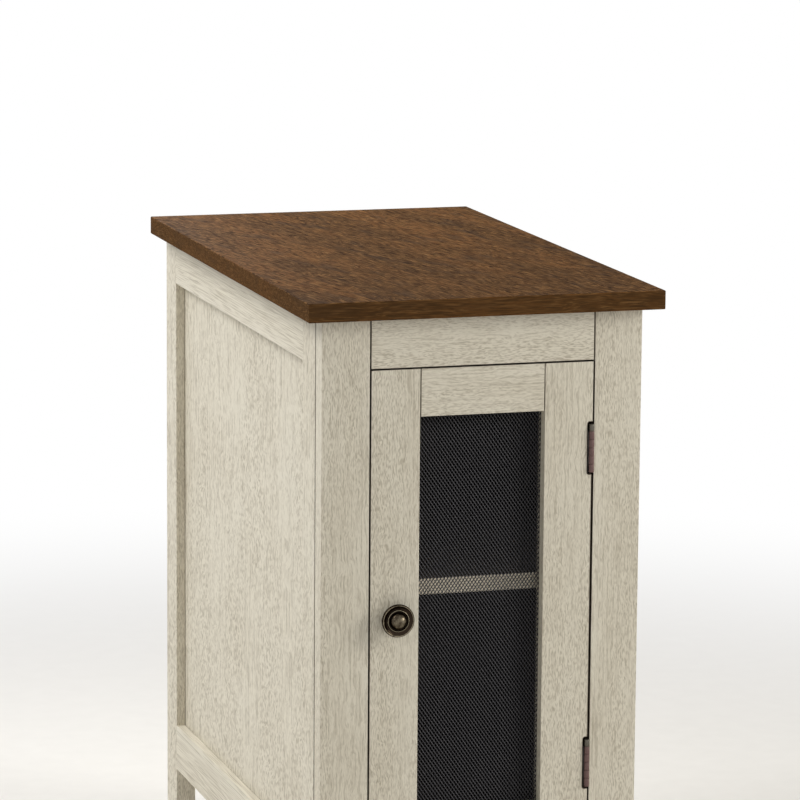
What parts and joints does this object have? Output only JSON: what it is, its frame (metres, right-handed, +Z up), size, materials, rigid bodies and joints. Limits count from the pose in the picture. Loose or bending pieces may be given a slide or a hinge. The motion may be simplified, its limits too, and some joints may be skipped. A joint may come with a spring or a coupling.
{
  "type": "storage side table",
  "caption": "Narrow side table: brown plank top on a cream frame-and-panel cabinet, with a shelf behind a hinged mesh door with a turned knob.",
  "frame": {"origin": "on the floor, under the middle of the top panel", "axes": "+X to the right seen from the front, +Y to the back, +Z up"},
  "size_m": [0.31, 0.5539, 0.61],
  "materials": {
    "brown_wood": "satin brown stain",
    "cream_wood": "brushed cream paint",
    "bare_wood": "unfinished",
    "mesh_metal": "matt black",
    "knob_bronze": "antique bronze",
    "hinge_bronze": "antique copper",
    "screw_steel": "zinc",
    "catch_plastic": "brown",
    "magnet_iron": "ground",
    "glide_plastic": "off-white"
  },
  "bodies": {
    "cabinet": {"back_bottom_rail": "cream_wood", "back_panel": "cream_wood", "back_top_rail": "cream_wood", "bottom_cleat_left": "bare_wood", "bottom_cleat_right": "bare_wood", "bottom_panel": "cream_wood", "catch_housing": "catch_plastic", "catch_magnet": "magnet_iron", "catch_screws": "screw_steel", "cleat_screws": "screw_steel", "floor_glides": "glide_plastic", "frame_dowels": "bare_wood", "front_apron": "cream_wood", "front_bottom_rail": "cream_wood", "front_stile_left": "cream_wood", "front_stile_right": "cream_wood", "hinge_frame_screws": "hinge_bronze", "hinge_lower_frame_leaf": "hinge_bronze", "hinge_lower_pin": "hinge_bronze", "hinge_upper_frame_leaf": "hinge_bronze", "hinge_upper_pin": "hinge_bronze", "shelf": "cream_wood", "shelf_pins": "screw_steel", "side_back_post_left": "cream_wood", "side_back_post_right": "cream_wood", "side_bottom_rail_left": "cream_wood", "side_bottom_rail_right": "cream_wood", "side_front_post_left": "cream_wood", "side_front_post_right": "cream_wood", "side_panel_left": "cream_wood", "side_panel_right": "cream_wood", "side_top_rail_left": "cream_wood", "side_top_rail_right": "cream_wood", "top_cleat_left": "bare_wood", "top_cleat_right": "bare_wood", "top_panel": "brown_wood", "top_screws": "screw_steel"},
    "door": {"door_bottom_rail": "cream_wood", "door_mesh": "mesh_metal", "door_stile_hinge_side": "cream_wood", "door_stile_knob_side": "cream_wood", "door_top_rail": "cream_wood", "hinge_door_screws": "hinge_bronze", "hinge_lower_door_leaf": "hinge_bronze", "hinge_upper_door_leaf": "hinge_bronze", "knob": "knob_bronze", "knob_screw": "screw_steel", "mesh_bead_bottom": "cream_wood", "mesh_bead_left": "cream_wood", "mesh_bead_right": "cream_wood", "mesh_bead_top": "cream_wood", "strike_plate": "screw_steel", "strike_screws": "screw_steel"}
  },
  "joints": [
    {"name": "door_hinge", "type": "hinge", "parent": "cabinet", "child": "door", "pos_m": [0.0961, -0.2611, 0.3397], "axis": [0, 0, 1], "range_deg": [0, 170]}
  ]
}
